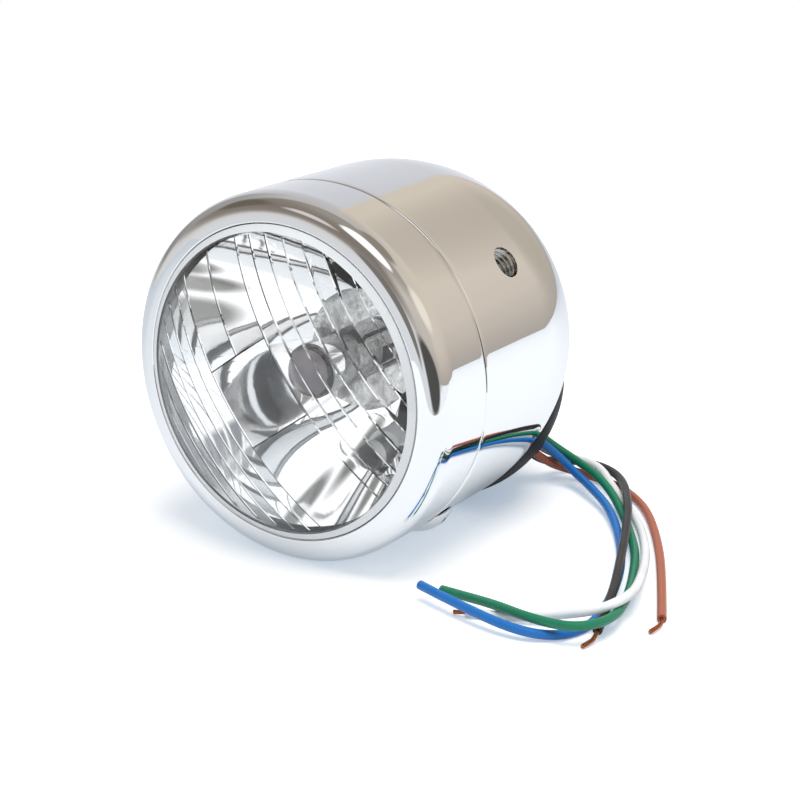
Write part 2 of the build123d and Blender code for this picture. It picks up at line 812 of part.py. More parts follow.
def main():
    """Build each piece where it rests and write it to a file of its own."""
    os.makedirs("parts", exist_ok=True)
    upright = {
        "bezel": bezel(),
        "bucket": bucket(),
        "mount_boss_right": mount_boss(1),
        "mount_boss_left": mount_boss(-1),
        "screw_tab": screw_tab(),
        "bezel_screw": bezel_screw(),
        "lens": lens(),
        "lens_gasket": lens_gasket(),
        "lens_seal": lens_seal(),
        "reflector": reflector(),
        "unit_clips": unit_clips(),
        "bulb_envelope": bulb_envelope(),
        "bulb_base": bulb_base(),
        "bulb_blades": bulb_blades(),
        "bulb_shade": bulb_shade(),
        "bulb_filaments": bulb_filaments(),
        "bulb_clip": bulb_clip(),
        "dust_boot": dust_boot(),
        "bulb_socket": bulb_socket(),
        "pilot_holder": pilot_holder(),
        "pilot_bulb": pilot_bulb(),
        "wire_grommet": wire_grommet(),
    }
    pieces = {name: laid(piece) for name, piece in upright.items()}
    for name in wire_names:
        pieces["lead_" + name] = inner_lead(name)
        pieces["wire_" + name] = free_wire(name)
    for name in copper_ends:
        pieces["copper_" + name] = copper_end(name)
    for name, piece in pieces.items():
        export_step(piece, os.path.join("parts", name + ".step"))


main()
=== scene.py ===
"""Looks of a round motorcycle headlight that lies on a pale floor, over the frame of its CAD pieces."""

import logging
import math
from dataclasses import dataclass, field
from enum import Enum
from typing import Callable, Optional, Sequence

import bmesh
import bpy
from mathutils import Matrix, Vector


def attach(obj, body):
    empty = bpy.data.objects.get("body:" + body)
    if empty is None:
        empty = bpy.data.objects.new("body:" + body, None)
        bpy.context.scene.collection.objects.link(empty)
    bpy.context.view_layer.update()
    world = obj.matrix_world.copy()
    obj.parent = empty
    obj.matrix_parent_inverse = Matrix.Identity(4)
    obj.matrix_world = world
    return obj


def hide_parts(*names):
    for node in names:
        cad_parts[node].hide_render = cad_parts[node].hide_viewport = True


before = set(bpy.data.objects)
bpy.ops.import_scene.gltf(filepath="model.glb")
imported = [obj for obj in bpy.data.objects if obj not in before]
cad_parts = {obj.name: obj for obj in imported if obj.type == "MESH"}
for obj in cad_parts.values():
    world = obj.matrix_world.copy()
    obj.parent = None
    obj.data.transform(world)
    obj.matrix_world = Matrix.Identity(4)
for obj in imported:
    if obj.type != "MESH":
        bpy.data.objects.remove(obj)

log = logging.getLogger("headlight")

Point = tuple[float, float, float]
Colour = tuple[float, float, float]
Profile = list[tuple[float, float]]
Piece = bpy.types.Object
Socket = bpy.types.NodeSocket

MILLIMETRE = 0.001
ROUND = 256
SHARP = 30.0
FLUSH = 0.9
ON_AXIS = 1e-6
NOISE_LOW = 0.3
NOISE_HIGH = 0.7
BROADER = 9


class Slot(Enum):
    """The record's names for what a new piece is made of."""

    CHROME = "chrome"
    STEEL = "steel"
    COPPER = "copper"
    LENS = "lens_glass"
    BULB = "bulb_glass"
    MIRROR = "reflector"


def channel(value: int) -> float:
    """Linear share of one eight-bit channel."""
    share = value / 255
    return share / 12.92 if share <= 0.04045 else ((share + 0.055) / 1.055) ** 2.4


def linear(red: int, green: int, blue: int) -> Colour:
    """Linear colour, as a shader takes it, of an eight-bit one as seen on a screen."""
    return channel(red), channel(green), channel(blue)


def spaced(start: float, end: float, steps: int) -> list[float]:
    """Evenly spaced values from start to end, both included."""
    return [start + (end - start) * step / steps for step in range(steps + 1)]


def turns(count: int) -> list[float]:
    """Evenly spaced angles once round, in radians."""
    return [2 * math.pi * step / count for step in range(count)]


# Shapes

@dataclass
class Shape:
    """Vertices in the lamp's own frame, in millimetres, and the faces between them."""

    vertices: list[Point] = field(default_factory=list)
    faces: list[tuple[int, ...]] = field(default_factory=list)

    def add(self, other: "Shape") -> "Shape":
        """Take another shape's vertices and faces in, and return this one."""
        base = len(self.vertices)
        self.vertices += other.vertices
        self.faces += [tuple(base + index for index in face) for face in other.faces]
        return self

    def band(self, around: int) -> "Shape":
        """Join each ring of vertices to the next with faces.

        Args:
            around: Number of vertices in a ring.

        Returns:
            This shape.
        """
        for first in range(0, len(self.vertices) - around, around):
            for turn in range(around):
                near, after = first + turn, first + (turn + 1) % around
                self.faces.append((near, after, after + around, near + around))
        return self


def arc(centre: tuple[float, float], radius: float, start: float, end: float, steps: int) -> Profile:
    """Points along a round stretch of an outline.

    Args:
        centre: Radius and depth of the arc's middle.
        radius: The arc's own radius.
        start: Angle of the first point in degrees; 0 looks outwards and 90 towards the back.
        end: Angle of the last point.
        steps: Number of stretches between the points.

    Returns:
        The points as radius and depth.
    """
    angles = [math.radians(angle) for angle in spaced(start, end, steps)]
    return [(centre[0] + radius * math.cos(a), centre[1] + radius * math.sin(a)) for a in angles]


def straight(start: tuple[float, float], end: tuple[float, float], steps: int) -> Profile:
    """Points along a straight stretch of an outline, both ends included."""
    return list(zip(spaced(start[0], end[0], steps), spaced(start[1], end[1], steps)))


def revolved(outline: Profile, closed: bool = True, segments: int = ROUND) -> Shape:
    """Turn an outline about the lamp's axis.

    Args:
        outline: Radius and depth of each point.
        closed: Whether the last point joins the first.
        segments: Number of faces round the axis.

    Returns:
        The turned skin; a point on the axis becomes one vertex.
    """
    shape = Shape()
    rings: list[list[int]] = []
    for radius, depth in outline:
        first = len(shape.vertices)
        if radius < ON_AXIS:
            shape.vertices.append((0.0, depth, 0.0))
            rings.append([first] * segments)
            continue
        for angle in turns(segments):
            shape.vertices.append((radius * math.cos(angle), depth, radius * math.sin(angle)))
        rings.append(list(range(first, first + segments)))
    pairs = list(zip(rings, rings[1:])) + ([(rings[-1], rings[0])] if closed else [])
    for near, far in pairs:
        for step in range(segments):
            after = (step + 1) % segments
            corners = dict.fromkeys((near[step], far[step], far[after], near[after]))
            if len(corners) > 2:
                shape.faces.append(tuple(corners))
    return shape


@dataclass(frozen=True)
class Lie:
    """How the upright lamp lies: rolled about its own axis, on the floor, halfway along the frame."""

    roll: float = 35.2
    middle_depth: float = 52.175
    radius: float = 57.15

    def matrix(self) -> Matrix:
        """From the lamp's own frame in millimetres to the frame in metres."""
        turn = Matrix.Rotation(-math.radians(self.roll), 4, "Y")
        shift = Matrix.Translation((0.0, -self.middle_depth, self.radius))
        return Matrix.Scale(MILLIMETRE, 4) @ shift @ turn


LIE = Lie().matrix()


def linked(name: str, data: bpy.types.ID) -> Piece:
    """Put an object of some data into the scene.

    Args:
        name: The object's name.
        data: Its mesh, curve, camera or light.

    Returns:
        The object.
    """
    piece = bpy.data.objects.new(name, data)
    bpy.context.scene.collection.objects.link(piece)
    return piece


def put(name: str, shape: Shape, sharp: float = SHARP, close_up: bool = True) -> Piece:
    """Make an object of a shape, laid down as the lamp lies.

    Args:
        name: The piece's name.
        shape: Its vertices and faces in the lamp's own frame.
        sharp: Angle in degrees over which an edge stays sharp.
        close_up: Whether all faces are turned to look outwards, as on a closed skin.

    Returns:
        The linked object.
    """
    mesh = bpy.data.meshes.new(name)
    mesh.from_pydata([LIE @ Vector(vertex) for vertex in shape.vertices], [], shape.faces)
    if close_up:
        editable = bmesh.new()
        editable.from_mesh(mesh)
        bmesh.ops.recalc_face_normals(editable, faces=editable.faces)
        editable.to_mesh(mesh)
        editable.free()
    mesh.shade_smooth()
    mesh.set_sharp_from_angle(angle=math.radians(sharp))
    return linked(name, mesh)


def stand_in(piece: Piece, node: str) -> None:
    """Let a piece ride with the lamp in the place of a CAD node."""
    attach(piece, "root")
    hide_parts(node)


def rod(start: Vector, end: Vector, radius: float, segments: int = 96) -> Shape:
    """Make a closed round bar.

    Args:
        start: Middle of one end, in the lamp's own frame.
        end: Middle of the other end.
        radius: The bar's radius.
        segments: Number of faces round it.

    Returns:
        The bar.
    """
    along = (end - start).normalized()
    side = along.orthogonal().normalized()
    across = along.cross(side)
    shape = Shape()
    for middle in (start, end):
        for angle in turns(segments):
            spoke = side * math.cos(angle) + across * math.sin(angle)
            shape.vertices.append(tuple(middle + radius * spoke))
    shape.band(segments)
    shape.faces += [tuple(range(segments - 1, -1, -1)), tuple(range(segments, 2 * segments))]
    return shape


def drilled(piece: Piece, bars: Sequence[Shape], normal_at: Callable[[Vector], Optional[Vector]]) -> None:
    """Cut round holes through a thin turned piece and keep its skin as smooth as before.

    Args:
        piece: The object to cut.
        bars: Closed shapes that are taken away.
        normal_at: True normal of the skin at a point, both in the lamp's own frame, or None off the skin.
    """
    cutters = [put(f"{piece.name}_cutter_{number}", bar) for number, bar in enumerate(bars)]
    for cutter in cutters:
        modifier = piece.modifiers.new(cutter.name, "BOOLEAN")
        modifier.operation = "DIFFERENCE"
        modifier.solver = "EXACT"
        modifier.object = cutter
    view = bpy.context.evaluated_depsgraph_get()
    cut = bpy.data.meshes.new_from_object(piece.evaluated_get(view))
    piece.modifiers.clear()
    piece.data = cut
    for cutter in cutters:
        bpy.data.objects.remove(cutter)
    cut.shade_smooth()
    cut.set_sharp_from_angle(angle=math.radians(SHARP))
    back = LIE.inverted()
    normals = [corner.vector.copy() for corner in cut.corner_normals]
    for polygon in cut.polygons:
        for loop in polygon.loop_indices:
            true = normal_at(back @ cut.vertices[cut.loops[loop].vertex_index].co)
            if true is None:
                continue
            true = (LIE.to_3x3() @ true).normalized()
            if true.dot(polygon.normal) < 0:
                true = -true
            if true.dot(polygon.normal) > FLUSH:
                normals[loop] = true
    cut.normals_split_custom_set(normals)


# Finishes

class Graph:
    """Short way of writing a shader's nodes."""

    def __init__(self, tree: bpy.types.NodeTree) -> None:
        """Start from an empty tree."""
        self.tree = tree
        self.tree.nodes.clear()

    def add(self, kind: str, inputs: Optional[dict] = None, **settings: object) -> bpy.types.Node:
        """Add a node.

        Args:
            kind: Node type without its leading "ShaderNode".
            inputs: What each input takes, by name or number: a constant or another node's output.
            settings: The node's own properties.

        Returns:
            The new node.
        """
        node = self.tree.nodes.new(f"ShaderNode{kind}")
        for name, value in settings.items():
            setattr(node, name, value)
        for name, value in (inputs or {}).items():
            if isinstance(value, Socket):
                self.tree.links.new(value, node.inputs[name])
            else:
                node.inputs[name].default_value = value
        return node

    def math(self, operation: str, *values: object) -> Socket:
        """Add a sum on numbers and return its result."""
        return self.add("Math", dict(enumerate(values)), operation=operation).outputs[0]

    def ramp(self, factor: Socket, stops: Sequence[tuple[float, Colour]]) -> Socket:
        """Add a colour ramp.

        Args:
            factor: Place along the ramp.
            stops: Place and colour of each stop, in order.

        Returns:
            The ramp's colour.
        """
        node = self.add("ValToRGB", {"Fac": factor})
        elements = node.color_ramp.elements
        elements[0].position, elements[0].color = stops[0][0], (*stops[0][1], 1)
        elements[1].position, elements[1].color = stops[-1][0], (*stops[-1][1], 1)
        for position, colour in stops[1:-1]:
            elements.new(position).color = (*colour, 1)
        return node.outputs["Color"]

    def blend(self, factor: object, first: object, second: object) -> Socket:
        """Add a mix of two colours.

        Args:
            factor: Share of the second colour.
            first: First colour, or an output that gives it.
            second: Second colour, or an output that gives it.

        Returns:
            The mixed colour.
        """
        node = self.add("Mix", {"Factor": factor}, data_type="RGBA")
        for name, value in (("A", first), ("B", second)):
            socket = next(s for s in node.inputs if s.name == name and s.type == "RGBA")
            if isinstance(value, Socket):
                self.tree.links.new(value, socket)
            else:
                socket.default_value = (*value, 1)
        return next(s for s in node.outputs if s.type == "RGBA")


@dataclass(frozen=True)
class Finish:
    """One surface: its colour, gloss and grain, with some of each wandering over the piece."""

    name: str
    colour: Colour
    metallic: float = 0.0
    roughness: float = 0.4
    rough_spread: float = 0.08
    tint: float = 0.12
    grain: float = 400.0
    bump: float = 0.02
    bump_depth: float = 0.0002
    transmission: float = 0.0
    index: float = 1.5
    coat: float = 0.0

    def material(self) -> bpy.types.Material:
        """Build the material, unless it is there already.

        Returns:
            The material.
        """
        made = bpy.data.materials.get(self.name)
        if made:
            return made
        made = bpy.data.materials.new(self.name)
        made.use_nodes = True
        graph = Graph(made.node_tree)
        place = graph.add("TexCoord").outputs["Object"]
        fine = graph.add("TexNoise", {"Vector": place, "Scale": self.grain, "Detail": 5.0, "Roughness": 0.6})
        broad = graph.add("TexNoise", {"Vector": place, "Scale": self.grain / BROADER, "Detail": 3.0})
        darker = tuple(value * (1 - self.tint) for value in self.colour)
        colour = graph.ramp(broad.outputs["Fac"], [(NOISE_LOW, darker), (NOISE_HIGH, self.colour)])
        half_spread = self.rough_spread / 2
        rough = graph.add("MapRange", {
            "Value": broad.outputs["Fac"], "From Min": NOISE_LOW, "From Max": NOISE_HIGH,
            "To Min": max(self.roughness - half_spread, 0.0), "To Max": self.roughness + half_spread,
        })
        bump = graph.add("Bump", {
            "Height": fine.outputs["Fac"], "Strength": self.bump, "Distance": self.bump_depth,
        })
        surface = graph.add("BsdfPrincipled", {
            "Base Color": colour, "Metallic": self.metallic, "Roughness": rough.outputs["Result"],
            "IOR": self.index, "Transmission Weight": self.transmission, "Coat Weight": self.coat,
            "Normal": bump.outputs["Normal"],
        })
        graph.add("OutputMaterial", {"Surface": surface.outputs["BSDF"]})
        return made

    def on(self, piece: Piece, slot: Optional[Slot | str] = None) -> None:
        """Put the finish on a piece as its only material.

        Args:
            piece: The piece to dress.
            slot: The record's slot for it, on a new piece; not used.
        """
        paint = self.material()
        if piece.data.materials:
            for number in range(len(piece.data.materials)):
                piece.data.materials[number] = paint
        else:
            piece.data.materials.append(paint)


CHROME = Finish("chrome_plate", (0.93, 0.93, 0.935), 1.0, 0.03, 0.03, 0.02, 90.0, 0.02, 0.0001)
MIRROR = Finish("vapour_silver", (0.985, 0.985, 0.985), 1.0, 0.03, 0.03, 0.01, 220.0, 0.02, 0.0001)
LENS_GLASS = Finish("pressed_glass", (0.995, 1.0, 1.0), 0.0, 0.0, 0.0, 0.005, 350.0, 0.03, 0.0001, 1.0, 1.5)
SILVERED_EDGE = Finish("silvered_edge", (0.98, 0.985, 0.99), 0.92, 0.18, 0.06, 0.02, 400.0, 0.06)
GROUND_GLASS = Finish("ground_edge", (0.95, 0.96, 0.97), 0.0, 0.6, 0.1, 0.03, 900.0, 0.1)
RIM_GLASS = Finish("rim_over_seal", (0.88, 0.91, 0.93), 0.0, 0.06, 0.04, 0.06, 260.0, 0.05, coat=0.6)
BULB_GLASS = Finish("bulb_quartz", (1.0, 1.0, 1.0), 0.0, 0.0, 0.0, 0.005, 300.0, 0.02, 0.0001, 1.0, 1.46)
BULB_PAINT = Finish("bulb_tip_paint", linear(130, 124, 128), 0.75, 0.35, 0.1, 0.15, 900.0, 0.1, coat=0.4)
ZINC = Finish("zinc_plate", linear(188, 188, 184), 1.0, 0.3, 0.12, 0.15, 700.0, 0.08)
BRIGHT_ZINC = Finish("bright_zinc", linear(246, 246, 244), 0.35, 0.25, 0.12, 0.08, 700.0, 0.06)
STAMPED_ZINC = Finish("stamped_zinc", (0.98, 0.98, 0.97), 1.0, 0.05, 0.04, 0.5, 4500.0, 0.35, 0.0004)
SPRING = Finish("spring_temper", linear(150, 148, 146), 1.0, 0.35, 0.1, 0.2, 600.0, 0.08)
TUNGSTEN = Finish("tungsten_wire", linear(120, 118, 116), 1.0, 0.45, 0.1, 0.2, 1200.0, 0.1)
BRASS = Finish("tinned_brass", linear(196, 180, 140), 1.0, 0.32, 0.12, 0.15, 700.0, 0.08)
COPPER = Finish("bare_copper", linear(214, 138, 96), 1.0, 0.3, 0.12, 0.2, 1500.0, 0.1)
GASKET = Finish("pale_gasket", linear(240, 241, 242), 0.0, 0.5, 0.12, 0.06, 900.0, 0.15)
RUBBER = Finish("black_rubber", linear(20, 20, 22), 0.0, 0.55, 0.12, 0.25, 900.0, 0.18, index=1.25)
SEALANT = Finish("silver_sealant", linear(236, 238, 240), 0.8, 0.3, 0.1, 0.15, 600.0, 0.2)
PLASTIC = Finish("dark_moulding", linear(46, 45, 44), 0.0, 0.45, 0.1, 0.2, 800.0, 0.12)


def wire_skin(name: str, colour: Colour) -> Finish:
    """Soft plastic skin of a wire in one colour."""
    return Finish(f"wire_skin_{name}", colour, 0.0, 0.36, 0.12, 0.1, 900.0, 0.1, 0.0001)


# Studio

def mirrored(red: int, green: int, blue: int) -> Colour:
    """Colour of a thing whose image in the chrome has an eight-bit colour."""
    return tuple(value / CHROME.colour[0] for value in linear(red, green, blue))


TABLE = (240, 243, 248)
CEILING = (150, 144, 138)


@dataclass(frozen=True)
class Wall:
    """One wall of the room: where it starts, how softly, and its image's colours from the floor up."""

    start: float
    soft: float
    stops: tuple[tuple[float, tuple[int, int, int]], ...]


BROWN_WALL = (
    (-9.0, (214, 217, 221)), (4.0, (206, 204, 202)), (11.0, (160, 154, 149)), (17.0, (134, 127, 120)),
    (30.0, (126, 118, 110)), (42.0, (128, 120, 110)), (54.0, (136, 128, 118)), (68.0, CEILING),
)


@dataclass(frozen=True)
class Patch:
    """A round light or dark spot in the room, by direction in degrees."""

    across: float
    height: float
    half_across: float
    half_height: float
    colour: Colour
    core: float = 0.5
    share: float = 1.0

    def mask(self, graph: Graph, across: Socket, height: Socket) -> Socket:
        """Share of the spot's colour at a direction.

        Args:
            graph: The room's shader.
            across: Direction round the room.
            height: Direction over the horizon.

        Returns:
            The share, which fades from the spot's core to its edge.
        """
        turn = graph.math("WRAP", graph.math("SUBTRACT", across, self.across), 180.0, -180.0)
        side = graph.math("POWER", graph.math("ABSOLUTE", graph.math("DIVIDE", turn, self.half_across)), 2.0)
        up = graph.math("DIVIDE", graph.math("SUBTRACT", height, self.height), self.half_height)
        reach = graph.math("ADD", side, graph.math("POWER", graph.math("ABSOLUTE", up), 2.0))
        return graph.add("MapRange", {
            "Value": reach, "From Min": 1.0, "From Max": self.core, "To Max": self.share,
        }, clamp=True).outputs["Result"]


@dataclass
class Studio:
    """Camera, pale round floor, the room that the chrome mirrors, and one large soft light."""

    eye: Point = (0.3081, -0.4565, 0.2198)
    right: Point = (0.8362, 0.5484, 0.0)
    up: Point = (-0.1718, 0.262, 0.949)
    back: Point = (0.5208, -0.7941, 0.3134)
    focal_length: float = 81.0
    floor_radius: float = 1.05
    floor_front: float = 0.24
    front_way: float = -60.0
    floor_corners: int = 192
    floor_colour: Colour = (0.85, 0.86, 0.87)
    floor_glow: Colour = (0.28, 0.36, 0.46)
    floor_shade: Colour = (0.92, 0.84, 0.74)
    mirrored_glow: Colour = (0.17, 0.20, 0.23)
    mirrored_shade: Colour = (0.74, 0.75, 0.76)
    # Painted shade: seen in chrome and glass, the floor fades to the next colour along a slant across it,
    # away from the lamp; the three numbers after it place that slant.
    far_painted_shade: Colour = (0.46, 0.475, 0.49)
    painted_shade_slant: float = -0.4
    painted_shade_far: float = -0.3
    painted_shade_near: float = 0.06
    fill: Colour = (0.55, 0.56, 0.57)
    lamp_place: Point = (0.3, -0.15, 1.35)
    lamp_size: float = 1.0
    lamp_power: float = 15.0
    ramp_span: float = 100.0
    ramp_base: float = 0.1
    walls: tuple[Wall, ...] = (
        Wall(-180.0, 0.0, BROWN_WALL),
        Wall(-102.0, 14.0, (
            (-8.0, TABLE), (-4.0, (188, 188, 189)), (2.0, (135, 135, 134)), (14.0, (150, 149, 145)),
            (34.0, (158, 156, 154)), (56.0, (186, 184, 182)), (75.0, (184, 180, 176)),
        )),
        Wall(-66.0, 10.0, (
            (-5.5, TABLE), (-4.0, (230, 231, 236)), (4.0, (219, 222, 228)), (14.0, (210, 212, 218)),
            (24.0, (204, 206, 212)), (36.0, (196, 196, 201)), (50.0, (190, 189, 191)),
            (75.0, (187, 183, 180)),
        )),
        Wall(-21.8, 1.6, (
            (-4.6, TABLE), (-4.2, (168, 162, 155)), (4.0, (188, 179, 169)), (12.0, (202, 192, 180)),
            (22.0, (207, 198, 184)), (34.0, (206, 197, 182)), (48.0, (203, 194, 179)),
            (60.0, (196, 188, 177)), (75.0, (186, 180, 173)),
        )),
        Wall(104.0, 12.0, (
            (-9.0, TABLE), (-4.0, (168, 163, 158)), (4.0, (178, 170, 163)), (14.0, (190, 184, 176)),
            (30.0, (196, 190, 182)), (44.0, (165, 158, 150)), (60.0, CEILING), (75.0, CEILING),
        )),
        Wall(152.0, 20.0, BROWN_WALL),
    )
    patches: tuple[Patch, ...] = (
        Patch(4.0, 18.0, 22.0, 26.0, mirrored(172, 163, 151), 0.2, 0.75),
        Patch(85.0, 72.0, 55.0, 14.0, mirrored(138, 131, 122)),
        Patch(100.0, 34.0, 26.0, 14.0, mirrored(234, 225, 212), 0.3),
        Patch(161.0, 58.0, 33.0, 15.0, (1.12, 1.1, 1.08), 0.7),
        Patch(145.0, -5.0, 29.0, 16.0, mirrored(78, 78, 76), 0.6),
        Patch(-172.0, 3.0, 13.0, 15.0, mirrored(118, 115, 111), 0.6),
        Patch(-151.0, 35.0, 15.0, 8.0, mirrored(208, 203, 198), 0.3),
        Patch(-110.0, 34.0, 22.0, 12.0, mirrored(104, 97, 88), 0.3),
    )
    through_glass: tuple[tuple[float, Colour], ...] = (
        (-8.0, (1.3, 1.33, 1.36)), (20.0, (1.3, 1.32, 1.34)),
        (50.0, (1.25, 1.25, 1.26)), (80.0, (1.2, 1.2, 1.2)),
    )
    glass_patches: tuple[Patch, ...] = (
        Patch(121.0, 9.0, 12.0, 12.0, linear(118, 112, 108), 0.5),
        Patch(138.0, 20.0, 12.0, 10.0, linear(130, 129, 127), 0.3),
        Patch(166.0, 34.0, 25.0, 10.0, linear(130, 129, 125), 0.3),
        Patch(113.0, 49.0, 9.0, 15.0, linear(138, 140, 146), 0.4),
        Patch(128.0, 64.0, 16.0, 9.0, linear(160, 160, 164), 0.4),
    )

    def camera(self) -> None:
        """Set the camera up."""
        data = bpy.data.cameras.new("camera")
        data.lens = self.focal_length
        data.clip_start = 0.01
        camera = linked("camera", data)
        camera.matrix_world = Matrix((*zip(self.right, self.up, self.back, self.eye), (0.0, 0.0, 0.0, 1.0)))
        bpy.context.scene.camera = camera

    def floor(self) -> None:
        """Lay the floor, round with a straight front: pale and matt, near white, with a soft shadow. Seen in
        chrome and glass it has a dimmer glow and colour of its own, with painted shade that darkens it along
        a slant away from the lamp.
        """
        mesh = bpy.data.meshes.new("floor")
        corners = []
        for angle in turns(self.floor_corners):
            ahead = math.cos(angle - math.radians(self.front_way))
            reach = min(self.floor_radius, self.floor_front / ahead) if ahead > 0 else self.floor_radius
            corners.append((reach * math.cos(angle), reach * math.sin(angle), 0.0))
        mesh.from_pydata(corners, [], [tuple(range(self.floor_corners))])
        floor = linked("floor", mesh)
        paint = bpy.data.materials.new("floor_paint")
        paint.use_nodes = True
        graph = Graph(paint.node_tree)
        path = graph.add("LightPath").outputs
        by_mirror = graph.math("MAXIMUM", path["Is Glossy Ray"], path["Is Transmission Ray"])
        plain = graph.blend(path["Is Camera Ray"], self.floor_colour, self.floor_shade)
        # Painted shade: seen in chrome and glass, the floor darkens along a slant across it, away from the
        # lamp.
        place = graph.add("SeparateXYZ", {0: graph.add("TexCoord").outputs["Object"]}).outputs
        slanted = graph.math("MULTIPLY_ADD", place["Y"], self.painted_shade_slant, place["X"])
        near = graph.add("MapRange", {
            "Value": slanted, "From Min": self.painted_shade_far, "From Max": self.painted_shade_near,
        }, clamp=True).outputs["Result"]
        image = graph.blend(near, self.far_painted_shade, self.mirrored_shade)
        matt = graph.add("BsdfDiffuse", {"Color": graph.blend(by_mirror, plain, image), "Roughness": 0.6})
        seen = graph.blend(path["Is Camera Ray"], (0.0, 0.0, 0.0), self.floor_glow)
        glow = graph.add("Emission", {
            "Color": graph.blend(by_mirror, seen, self.mirrored_glow), "Strength": 1.0,
        })
        both = graph.add("AddShader", {0: matt.outputs[0], 1: glow.outputs[0]})
        graph.add("OutputMaterial", {"Surface": both.outputs[0]})
        mesh.materials.append(paint)

    def stops(self, colours: Sequence[tuple[float, Colour]]) -> list[tuple[float, Colour]]:
        """Places on a ramp of colours that are given by degrees over the horizon."""
        return [(degrees / self.ramp_span + self.ramp_base, shade) for degrees, shade in colours]

    def room(self) -> None:
        """Paint the room by direction: the walls in order, then each patch over them."""
        world = bpy.data.worlds.new("room")
        world.use_nodes = True
        bpy.context.scene.world = world
        graph = Graph(world.node_tree)
        split = graph.add("SeparateXYZ", {0: graph.add("TexCoord").outputs["Generated"]}).outputs
        to_degrees = 180 / math.pi
        across = graph.math("MULTIPLY", graph.math("ARCTAN2", split["X"], split["Y"]), to_degrees)
        height = graph.math("MULTIPLY", graph.math("ARCSINE", split["Z"]), to_degrees)
        rise = graph.math("MULTIPLY_ADD", height, 1 / self.ramp_span, self.ramp_base)
        colour = None
        for wall in self.walls:
            shades = [(degrees, mirrored(*shade)) for degrees, shade in wall.stops]
            painted = graph.ramp(rise, self.stops(shades))
            if colour is None:
                colour = painted
                continue
            reached = graph.add("MapRange", {
                "Value": across, "From Min": wall.start, "From Max": wall.start + wall.soft,
            }, clamp=True).outputs["Result"]
            colour = graph.blend(reached, colour, painted)
        for patch in self.patches:
            colour = graph.blend(patch.mask(graph, across, height), colour, patch.colour)
        inside = graph.ramp(rise, self.stops(self.through_glass))
        for patch in self.glass_patches:
            inside = graph.blend(patch.mask(graph, across, height), inside, patch.colour)
        path = graph.add("LightPath").outputs
        colour = graph.blend(path["Is Transmission Ray"], colour, inside)
        colour = graph.blend(path["Is Diffuse Ray"], colour, self.fill)
        colour = graph.blend(path["Is Camera Ray"], colour, (1.0, 1.0, 1.0))
        sky = graph.add("Background", {"Color": colour, "Strength": 1.0})
        graph.add("OutputWorld", {"Surface": sky.outputs[0]})

    def light(self) -> None:
        """Hang the large soft light."""
        data = bpy.data.lights.new("soft_light", "AREA")
        data.shape = "DISK"
        data.size = self.lamp_size
        data.energy = self.lamp_power
        lamp = linked("soft_light", data)
        lamp.location = self.lamp_place
        lamp.rotation_euler = (-Vector(self.lamp_place)).to_track_quat("-Z", "Y").to_euler()
        lamp.visible_glossy = False
        lamp.visible_transmission = False
        bpy.context.scene.view_settings.view_transform = "Standard"

    def build(self) -> None:
        """Set the whole studio up."""
        self.camera()
        self.floor()
        self.room()
        self.light()


# Wires

@dataclass(frozen=True)
class Wire:
    """One free wire: its route from the grommet in millimetres of the frame, and its bare end, if any."""

    name: str
    colour: Colour
    length: float
    route: tuple[Point, ...]
    bare: tuple[Point, ...] = ()


